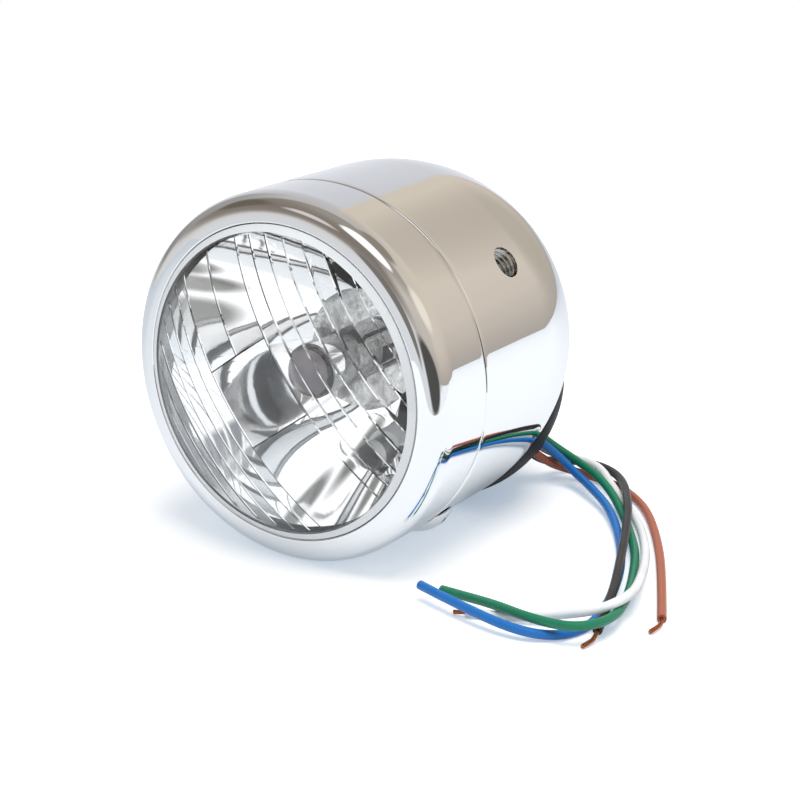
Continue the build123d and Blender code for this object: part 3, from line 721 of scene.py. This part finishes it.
@dataclass
class Harness:
    """The five wires that come out of the rubber cap and lie on the floor."""

    radius: float = 1.4
    strand_radius: float = 0.2
    strand_ring: float = 0.5
    strands: int = 7
    twist: float = 0.8
    fray: float = 0.12
    core: float = 0.75
    core_shows: float = 0.25
    wires: tuple[Wire, ...] = (
        Wire("blue", linear(30, 116, 196), 192.7, (
            (33.19, 48.73, 16.07), (36.8, 53.7, 10.95), (44, 53.4, 5.8), (53, 47.4, 4.6),
            (66.4, 36.2, 3.2), (79.1, 18.5, 1.6), (89.8, -1.7, 1.4), (97.2, -23.4, 1.4),
            (101, -42.2, 1.4), (97.3, -53.4, 1.4), (87.8, -60.1, 3), (70, -58.4, 4.5), (49.8, -52, 4.8),
        )),
        Wire("green", linear(28, 128, 92), 204.4, (
            (30.64, 51.87, 17.32), (34.25, 56.84, 12.19), (42, 57.8, 8.4), (53, 51.8, 7.4),
            (62.6, 45.6, 4.6), (75.3, 31.1, 1.6), (88, 11.8, 1.4), (95.9, -6.3, 1.6), (102.3, -22.8, 3),
            (108.2, -43.5, 5.6), (103, -56, 6.4), (89, -55.4, 5.4), (74, -51, 4.4), (62.5, -47.8, 2.8),
            (53.5, -46, 1.9),
        )),
        Wire("white", linear(244, 245, 247), 189.7, (
            (27.2, 51.83, 14.85), (30.82, 56.8, 9.72), (38.5, 60.6, 7.6), (50.3, 59.6, 7.6),
            (59.2, 53.4, 2.9), (70.2, 43.2, 1.4), (81.8, 28.8, 1.4), (93.3, 8.1, 2.6), (103.2, -17, 5.8),
            (107, -31, 7.7), (104, -44.5, 7.6), (91, -46.2, 3.4), (79, -50.8, 1.4), (67, -54.6, 1.4),
        ), ((63.4, -55.4, 1.0),)),
        Wire("black", linear(40, 40, 42), 162.3, (
            (27.63, 48.66, 12.07), (31.24, 53.63, 6.95), (32.2, 62, 4.9), (39.8, 67.4, 4.3),
            (50.2, 65.8, 4.6), (61.4, 56.2, 5.3), (72.1, 38.3, 5.4), (81.4, 17.9, 5.1), (90, -3.2, 4.6),
            (97.6, -22.2, 4.5), (102.2, -36.6, 4.3), (105, -47, 2.6),
        ), ((105.6, -51.4, 1.2), (104.4, -55, 0.85))),
        Wire("brown", linear(176, 98, 72), 143.0, (
            (31.33, 46.75, 12.83), (34.94, 51.72, 7.71), (37.4, 58.2, 4.3), (44.6, 61.6, 2.2),
            (53.6, 61.2, 1.5), (63.8, 56.2, 1.4), (75.5, 45.3, 1.4), (88.6, 25.5, 1.4), (101.3, 2.3, 1.4),
            (115.5, -27.8, 1.4),
        ), ((117, -32.6, 1.3), (116, -36.6, 0.9))),
    )

    def spline(self, data: bpy.types.Curve, points: Sequence[Vector]) -> None:
        """Add an open smooth line.

        Args:
            data: The curve that takes it.
            points: Its control points in millimetres.
        """
        line = data.splines.new("NURBS")
        line.points.add(len(points) - 1)
        for control, point in zip(line.points, points):
            control.co = (*(Vector(point) * MILLIMETRE), 1.0)
        line.order_u = 3
        line.use_endpoint_u = True
        line.resolution_u = 12

    def tube(self, name: str, radius: float) -> Piece:
        """Make a round curve object with no line in it yet.

        Args:
            name: The piece's name.
            radius: Radius of its section in millimetres.

        Returns:
            The linked object.
        """
        data = bpy.data.curves.new(name, "CURVE")
        data.dimensions = "3D"
        data.bevel_depth = radius * MILLIMETRE
        data.bevel_resolution = 6
        data.use_fill_caps = True
        return linked(name, data)

    def strand_lines(self, wire: Wire) -> list[list[Vector]]:
        """Route a bare end's strands: one down the middle and a ring of them twisted round it.

        Args:
            wire: The wire with that end.

        Returns:
            Each strand's points.
        """
        end = Vector(wire.route[-1])
        back = (Vector(wire.route[-2]) - end).normalized()
        path = [end + back, end - 2 * back] + [Vector(point) for point in wire.bare]
        lines = [path]
        for strand in range(self.strands - 1):
            line = []
            for number, point in enumerate(path):
                along = (path[min(number + 1, len(path) - 1)] - path[max(number - 1, 0)]).normalized()
                side = along.cross(Vector((0, 0, 1))).normalized()
                angle = 2 * math.pi * strand / (self.strands - 1) + self.twist * number
                spread = self.strand_ring * (1 + self.fray * number * math.sin(3 * strand))
                offset = side * math.cos(angle) + side.cross(along) * math.sin(angle)
                place = point + spread * offset
                place.z = max(place.z, self.strand_radius)
                line.append(place)
            lines.append(line)
        return lines

    def build(self) -> None:
        """Make the wires, their bare ends and the cut cores, and log each wire's name and length."""
        for wire in self.wires:
            piece = self.tube(f"wire_{wire.name}_skin", self.radius)
            self.spline(piece.data, wire.route)
            wire_skin(wire.name, wire.colour).on(piece, f"wire_{wire.name}")
            stand_in(piece, f"wire_{wire.name}")
            ends = self.tube(f"copper_{wire.name}_strands", self.strand_radius)
            if wire.bare:
                for line in self.strand_lines(wire):
                    self.spline(ends.data, line)
                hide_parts(f"copper_{wire.name}")
            else:
                end = Vector(wire.route[-1])
                back = (Vector(wire.route[-2]) - end).normalized()
                ends.data.bevel_depth = self.core * MILLIMETRE
                self.spline(ends.data, [end + back, end, end - self.core_shows * back])
            COPPER.on(ends, Slot.COPPER)
            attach(ends, "root")
            log.info("wire %s, %.1f mm", wire.name, wire.length)


# Shell

@dataclass
class Shell:
    """Chromed bezel and bucket."""

    radius: float = 57.15
    sheet: float = 1.0
    lip_radius: float = 48.5
    rise: float = 0.76
    corner: float = 7.0
    lip_rounding: float = 0.45
    hem_depth: float = 2.4
    seam: float = 24.4
    seam_gap: float = 0.35
    edge: float = 0.9
    sleeve_gap: float = 0.2
    sleeve_reach: float = 7.0
    dome: float = 60.5
    mount_depth: float = 52.2
    mount_hole: float = 5.05
    screw_depth: float = 33.3
    screw_hole: float = 2.65
    wire_hole: float = 27.0
    wire_angle: float = 38.4
    drill: float = 70.0
    slack: float = 0.06

    def bezel_outline(self) -> Profile:
        """Draw the bezel's section: inside, hem, lip, sloping front, rounded corner and side.

        Returns:
            Radius and depth of each point.
        """
        slope = self.rise / (self.radius - self.lip_radius)
        length = math.hypot(1, slope)
        tilt = math.degrees(math.atan2(-1, slope))
        inside = self.radius - self.sheet

        def front(radius: float) -> float:
            """Depth of the sloping front at a radius."""
            return slope * (radius - self.lip_radius)

        bend = self.radius - self.corner
        bend_depth = front(bend) + self.corner * length
        lip = self.lip_radius + self.lip_rounding
        lip_depth = front(lip) + self.lip_rounding * length
        hem = self.lip_radius + self.sheet
        return (
            straight((inside, self.seam), (inside, bend_depth), 6)[:-1]
            + arc((bend, bend_depth), self.corner - self.sheet, 0, tilt, 12)
            + [(hem, front(hem) + self.sheet * length)]
            + [(hem, self.hem_depth), (self.lip_radius, self.hem_depth)]
            + arc((lip, lip_depth), self.lip_rounding, -180, tilt, 10)
            + straight((lip, front(lip)), (bend, front(bend)), 8)[1:-1]
            + arc((bend, bend_depth), self.corner, tilt, 0, 28)
            + straight((self.radius, bend_depth), (self.radius, self.seam - self.edge), 16)[1:-1]
            + arc((self.radius - self.edge, self.seam - self.edge), self.edge, 0, 90, 8)
        )

    def bucket_outline(self) -> Profile:
        """Draw the bucket's section: sleeve, rounded front edge, straight side, round back, and back inside.

        Returns:
            Radius and depth of each point.
        """
        front = self.seam + self.seam_gap
        inside = self.radius - self.sheet
        sleeve = inside - self.sleeve_gap
        sleeve_front = front - self.sleeve_reach
        return (
            [(sleeve - self.sheet, front + self.sheet), (sleeve - self.sheet, sleeve_front)]
            + [(sleeve, sleeve_front), (sleeve, front)]
            + arc((self.radius - self.edge, front + self.edge), self.edge, -90, 0, 8)
            + straight((self.radius, front + self.edge), (self.radius, self.dome), 24)[1:-1]
            + arc((0, self.dome), self.radius, 0, 90, 64)
            + arc((0, self.dome), inside, 90, 0, 32)
            + [(inside, front + self.sheet)]
        )

    def normal_at(self, point: Vector) -> Optional[Vector]:
        """Find the true normal of the bucket's skin.

        Args:
            point: A point of the bucket, in the lamp's own frame.

        Returns:
            The normal on its outside or inside, or None on its edges.
        """
        if point.y < self.seam + self.seam_gap + self.edge:
            return None
        out = Vector((point.x, max(point.y - self.dome, 0.0), point.z))
        off = out.length - self.radius
        on_skin = min(abs(off), abs(off + self.sheet)) < self.slack
        return out.normalized() if on_skin else None

    def build(self) -> None:
        """Make both pressings and plate them."""
        bezel = put("bezel_ring", revolved(self.bezel_outline()))
        CHROME.on(bezel, Slot.CHROME)
        stand_in(bezel, "bezel")
        bucket = put("bucket_shell", revolved(self.bucket_outline()))
        down = math.radians(self.wire_angle)
        way = Vector((0, math.sin(down), -math.cos(down)))
        middle = Vector((0, self.dome, 0))
        drilled(bucket, [
            rod(
                Vector((-self.drill, self.mount_depth, 0)), Vector((self.drill, self.mount_depth, 0)),
                self.mount_hole,
            ),
            rod(
                Vector((0, self.screw_depth, 0)), Vector((0, self.screw_depth, -self.drill)),
                self.screw_hole, segments=32,
            ),
            rod(middle, middle + self.drill * way, self.wire_hole),
        ], self.normal_at)
        CHROME.on(bucket, Slot.CHROME)
        stand_in(bucket, "bucket")
        log.info("shell: bezel and bucket")


@dataclass
class Mounts:
    """The two threaded bosses behind the bucket's side holes."""

    outer: float = 56.1
    length: float = 10.0
    depth: float = 52.2
    boss_radius: float = 8.0
    core: float = 4.25
    groove: float = 5.0
    pitch: float = 1.5
    steps: int = 8
    around: int = 64
    flank_start: float = 0.12
    flank: float = 0.8

    def thread(self, side: int) -> Shape:
        """Cut the helical thread of one boss, from its inner end to its face.

        Args:
            side: 1 for the right-hand boss, -1 for the left-hand one.

        Returns:
            The thread's skin.
        """
        shape = Shape()
        rows = int(self.length / self.pitch * self.steps)
        for row in range(rows + 1):
            along = self.outer - self.length + self.length * row / rows
            for turn, angle in enumerate(turns(self.around)):
                phase = (along / self.pitch + turn / self.around) % 1.0
                depth = 1 - abs(2 * phase - 1)
                share = min(max((depth - self.flank_start) / self.flank, 0.0), 1.0)
                radius = self.core + (self.groove - self.core) * share
                shape.vertices.append(
                    (side * along, self.depth + radius * math.cos(angle), radius * math.sin(angle))
                )
        return shape.band(self.around)

    def body(self, side: int) -> Shape:
        """Make the outside of one boss: a ring whose outer face follows the bucket's round inside.

        Args:
            side: 1 for the right-hand boss, -1 for the left-hand one.

        Returns:
            The ring's skin, open at the thread.
        """
        shape = Shape()
        rings = (
            (self.groove, False), (self.boss_radius, False), (self.boss_radius, True), (self.groove, True),
        )
        for radius, outer in rings:
            for angle in turns(self.around):
                across = radius * math.sin(angle)
                along = math.sqrt(self.outer**2 - across**2) if outer else self.outer - self.length
                shape.vertices.append((side * along, self.depth + radius * math.cos(angle), across))
        return shape.band(self.around)

    def build(self) -> None:
        """Make and plate both bosses."""
        for name, side in (("mount_boss_right", 1), ("mount_boss_left", -1)):
            piece = put(f"{name}_threaded", self.body(side).add(self.thread(side)))
            ZINC.on(piece, Slot.STEEL)
            stand_in(piece, name)
        log.info("mount bosses")


# Light unit

@dataclass
class Lens:
    """Domed glass with flutes on its inner face, either side of a plain panel."""

    radius: float = 48.2
    rise: float = 13.3
    glass: float = 3.5
    bore: float = 45.0
    flange_radius: float = 52.3
    flange_depth: float = 4.0
    back: float = 6.6
    field: float = 44.5
    root: float = 0.25
    flute: float = 0.03
    pitch: float = 5.05
    flutes: int = 6
    half_width: float = 11.8
    half_height: float = 12.7
    panel: float = 0.5
    wide: float = 0.08
    step: float = 0.03
    groove: float = 0.16
    groove_width: float = 0.4
    panel_groove: float = 0.55
    rim: float = 46.3
    brim: float = 0.02
    edge_share: float = 0.9
    slack: float = 0.05
    sharp: float = 18.0

    def __post_init__(self) -> None:
        """Work the two spheres out."""
        self.sphere = (self.radius**2 + self.rise**2) / (2 * self.rise)
        self.middle = self.sphere - self.rise
        self.inner = self.sphere - self.glass

    def sink(self, edge: float, depth: float) -> float:
        """Depth of a fine groove along an edge, at a distance from that edge."""
        return depth * max(1 - edge / self.groove_width, 0.0)

    def swell(self, x: float, left: float, right: float, height: float) -> float:
        """How far a rib between two edges stands out at x, with a fine groove along each edge."""
        share = (2 * x - left - right) / (right - left)
        return self.root + height * (1 - share * share) - self.sink(min(x - left, right - x), self.groove)

    def standing(self, x: float, z: float) -> float:
        """Work out how far the pattern stands out of the smooth inner face.

        Args:
            x: Place across the lens.
            z: Place up the lens.

        Returns:
            The height there.
        """
        side = abs(x)
        if side < self.half_width:
            if abs(z) < self.half_height:
                groove = self.sink(self.half_height - abs(z), self.panel_groove)
                return self.swell(x, -self.half_width, self.half_width, self.panel) - groove
            return self.swell(side, 0.0, self.half_width, self.wide) if z > 0 else 0.0
        number = int((side - self.half_width) / self.pitch)
        if number >= self.flutes:
            return 0.0
        left = self.half_width + number * self.pitch
        return self.swell(side, left, left + self.pitch, self.flute)

    def columns(self) -> list[float]:
        """Choose where the pattern is drawn across the lens.

        Returns:
            The places, from left to right.
        """
        outer = self.half_width + self.flutes * self.pitch
        inset = self.groove_width
        half = [self.step, inset] + spaced(0.0, self.half_width, 14)[1:-1]
        half += [self.half_width - inset, self.half_width - self.step]
        for number in range(self.flutes):
            left = self.half_width + number * self.pitch
            half += [left + self.step] + spaced(left + inset, left + self.pitch - inset, 8)
        half.append(outer - self.step)
        half += spaced(outer + self.step, self.field - self.brim, 6)
        return [-x for x in reversed(half)] + half

    def rows(self, x: float) -> list[float]:
        """Choose where one column of the pattern is drawn.

        Args:
            x: The column's place across the lens.

        Returns:
            The heights, from the field's lower edge to its upper one.
        """
        top = math.sqrt(self.field**2 - x * x)
        edge = min(self.half_height, self.edge_share * top)
        plain = edge - self.groove_width
        stretches = ((-top, -edge - self.step), (-plain, plain), (edge + self.step, top))
        rows = [row for low, high in stretches for row in spaced(low, high, 20)]
        return sorted(rows + [self.step - edge, edge - self.step])

    def at(self, x: float, z: float, standing: float) -> Point:
        """Point on the inner face."""
        return (x, self.middle - math.sqrt((self.inner - standing) ** 2 - x * x - z * z), z)

    def fluted_face(self) -> Shape:
        """Draw the pattern, with a short wall round it down to the smooth inner face.

        Returns:
            The inner face's skin.
        """
        shape = Shape()
        for x in self.columns():
            rows = self.rows(x)
            column = [self.at(x, rows[0], 0.0)]
            column += [self.at(x, z, self.standing(x, z)) for z in rows]
            column.append(self.at(x, rows[-1], 0.0))
            shape.vertices += column
        tall = len(self.rows(0.0)) + 2
        for column in range(len(self.columns()) - 1):
            for row in range(tall - 1):
                first = column * tall + row
                shape.faces.append((first, first + 1, first + tall + 1, first + tall))
        return shape

    def outside(self) -> Shape:
        """Turn the dome, rim, flange and the plain edge of the inner face.

        Returns:
            The rest of the lens's skin.
        """
        dome = math.degrees(math.asin(self.radius / self.sphere))
        start = math.degrees(math.asin(self.field / self.inner))
        end = math.degrees(math.asin(self.bore / self.inner))
        outline = arc((0, self.middle), self.sphere, -90, -90 + dome, 64)
        outline += [
            (self.radius, self.flange_depth), (self.flange_radius, self.flange_depth),
            (self.flange_radius, self.back), (self.bore, self.back),
        ]
        outline += arc((0, self.middle), self.inner, -90 + end, -90 + start, 3)
        outline[0] = (0.0, -self.rise)
        return revolved(outline, closed=False)

    def build(self) -> None:
        """Make the lens, clear but for its silvered bore, ground edge and the rim over the seal."""
        piece = put("lens_fluted", self.outside().add(self.fluted_face()), self.sharp, close_up=False)
        LENS_GLASS.on(piece, Slot.LENS)
        for finish in (SILVERED_EDGE, RIM_GLASS, GROUND_GLASS):
            piece.data.materials.append(finish.material())
        back = LIE.inverted()
        for polygon in piece.data.polygons:
            middle = back @ polygon.center
            across = math.hypot(middle.x, middle.z)
            if middle.y > self.slack and across > self.bore - self.slack:
                polygon.material_index = 1 if across < self.bore + self.slack else 3
            elif across > self.rim:
                polygon.material_index = 2
        stand_in(piece, "lens")
        log.info("lens, %d faces", len(piece.data.polygons))


@dataclass
class Reflector:
    """Bright bowl with a neck for the bulb and a hole for the pilot light."""

    focal_length: float = 11.8
    vertex: float = 52.0
    wall: float = 1.2
    bowl_radius: float = 45.78
    rim: float = 7.6
    neck: float = 19.5
    seat: float = 66.0
    seat_depth: float = 2.5
    seat_radius: float = 22.0
    collar_radius: float = 25.0
    collar_length: float = 4.5
    rim_inside: float = 52.7
    rim_outside: float = 53.7
    rim_height: float = 3.0
    pilot_drop: float = 31.0
    pilot_hole: float = 6.3
    drill: float = 60.0
    slack: float = 0.05

    def depth(self, radius: float) -> float:
        """Depth of the bowl at a radius."""
        return self.vertex - radius**2 / (4 * self.focal_length)

    def outline(self) -> Profile:
        """Draw the section of the whole pressing.

        Returns:
            Radius and depth of each point.
        """
        outer_start = math.sqrt(4 * self.focal_length * (self.vertex - self.rim))
        seat_back = self.seat + self.seat_depth
        return (
            [(radius, self.depth(radius)) for radius in spaced(self.bowl_radius, self.neck, 72)]
            + [
                (self.neck, self.seat), (self.seat_radius, self.seat), (self.seat_radius, seat_back),
                (self.collar_radius, seat_back), (self.collar_radius, seat_back - self.collar_length),
                (self.neck + self.wall, seat_back - self.collar_length),
            ]
            + [
                (radius + self.wall, self.depth(radius) + self.wall)
                for radius in spaced(self.neck, outer_start, 24)
            ]
            + [
                (self.rim_outside, self.rim + self.wall), (self.rim_outside, self.rim - self.rim_height),
                (self.rim_inside, self.rim - self.rim_height), (self.rim_inside, self.rim),
            ]
        )

    def normal_at(self, point: Vector) -> Optional[Vector]:
        """Find the true normal of the bowl's inside.

        Args:
            point: A point of the bowl, in the lamp's own frame.

        Returns:
            The normal, or None off the inside.
        """
        radius = math.hypot(point.x, point.z)
        off = abs(point.y - self.depth(radius)) > self.slack
        if off or not self.neck + self.slack < radius < self.bowl_radius - self.slack:
            return None
        slope = radius / (2 * self.focal_length)
        return Vector((-slope * point.x / radius, -1.0, -slope * point.z / radius)).normalized()

    def build(self) -> None:
        """Make the bowl and silver it."""
        piece = put("reflector_bowl", revolved(self.outline()))
        start = Vector((0, 0, -self.pilot_drop))
        pilot = rod(start, start + Vector((0, self.drill, 0)), self.pilot_hole, segments=48)
        drilled(piece, [pilot], self.normal_at)
        MIRROR.on(piece, Slot.MIRROR)
        stand_in(piece, "reflector")
        log.info("reflector")


@dataclass
class Bulb:
    """Clear tube with a painted tip."""

    radius: float = 8.5
    glass: float = 1.0
    tip: float = 13.0
    tip_rise: float = 3.6
    shoulder: float = 2.0
    seat: float = 66.0
    pinch: float = 6.0
    painted: float = 2.6

    def outline(self) -> Profile:
        """Draw the tube's section, outside from the tip to its foot and back inside.

        Returns:
            Radius and depth of each point.
        """
        sphere = (self.radius**2 + self.tip_rise**2) / (2 * self.tip_rise)
        middle = self.tip + sphere
        bend = self.radius - self.shoulder
        bend_depth = middle - math.sqrt((sphere - self.shoulder) ** 2 - bend**2)
        meet = math.degrees(math.atan2(bend_depth - middle, bend))
        bore = self.radius - self.glass
        inner = sphere - self.glass
        inner_end = -math.degrees(math.acos(bore / inner))
        floor = self.seat - self.pinch
        outline = (
            arc((0, middle), sphere, -90, meet, 24)[:-1]
            + arc((bend, bend_depth), self.shoulder, meet, 0, 10)
            + straight((self.radius, bend_depth), (self.radius, self.seat), 40)[1:]
            + [(0, self.seat), (0, floor), (bore, floor)]
            + arc((0, middle), inner, inner_end, -90, 24)
        )
        return [(0.0 if radius < ON_AXIS else radius, depth) for radius, depth in outline]

    def build(self) -> None:
        """Make the tube, clear but for its tip."""
        piece = put("bulb_tube", revolved(self.outline(), closed=False, segments=96))
        BULB_GLASS.on(piece, Slot.BULB)
        piece.data.materials.append(BULB_PAINT.material())
        piece.data.materials.append(BRIGHT_ZINC.material())
        back = LIE.inverted()
        for polygon in piece.data.polygons:
            if (back @ polygon.center).y < self.tip + self.painted:
                polygon.material_index = 1 if polygon.normal.y < 0 else 2
        stand_in(piece, "bulb_envelope")
        log.info("bulb")


@dataclass
class Hardware:
    """The other CAD pieces, kept as they are and given their finishes."""

    finishes: tuple[tuple[str, Finish], ...] = (
        ("screw_tab", ZINC),
        ("bezel_screw", CHROME),
        ("lens_gasket", GASKET),
        ("lens_seal", SEALANT),
        ("unit_clips", SPRING),
        ("bulb_base", STAMPED_ZINC),
        ("bulb_blades", BRASS),
        ("bulb_shade", STAMPED_ZINC),
        ("bulb_filaments", TUNGSTEN),
        ("bulb_clip", SPRING),
        ("dust_boot", RUBBER),
        ("bulb_socket", PLASTIC),
        ("pilot_holder", GASKET),
        ("pilot_bulb", BULB_GLASS),
        ("wire_grommet", RUBBER),
    )

    def build(self, wires: Sequence[Wire]) -> None:
        """Give each piece its finish, and the inner leads their wires' colours.

        Args:
            wires: The free wires, which the leads match.
        """
        for name, finish in self.finishes:
            finish.on(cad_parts[name])
        for wire in wires:
            wire_skin(wire.name, wire.colour).on(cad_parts[f"lead_{wire.name}"])
        log.info("%d small pieces", len(self.finishes) + len(wires))


def main() -> None:
    """Build the looks in order."""
    logging.basicConfig(level=logging.INFO, format="%(name)s: %(message)s")
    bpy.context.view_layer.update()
    Studio().build()
    harness = Harness()
    harness.build()
    Shell().build()
    Mounts().build()
    Lens().build()
    Reflector().build()
    Bulb().build()
    Hardware().build(harness.wires)


if __name__ == "__main__":
    main()
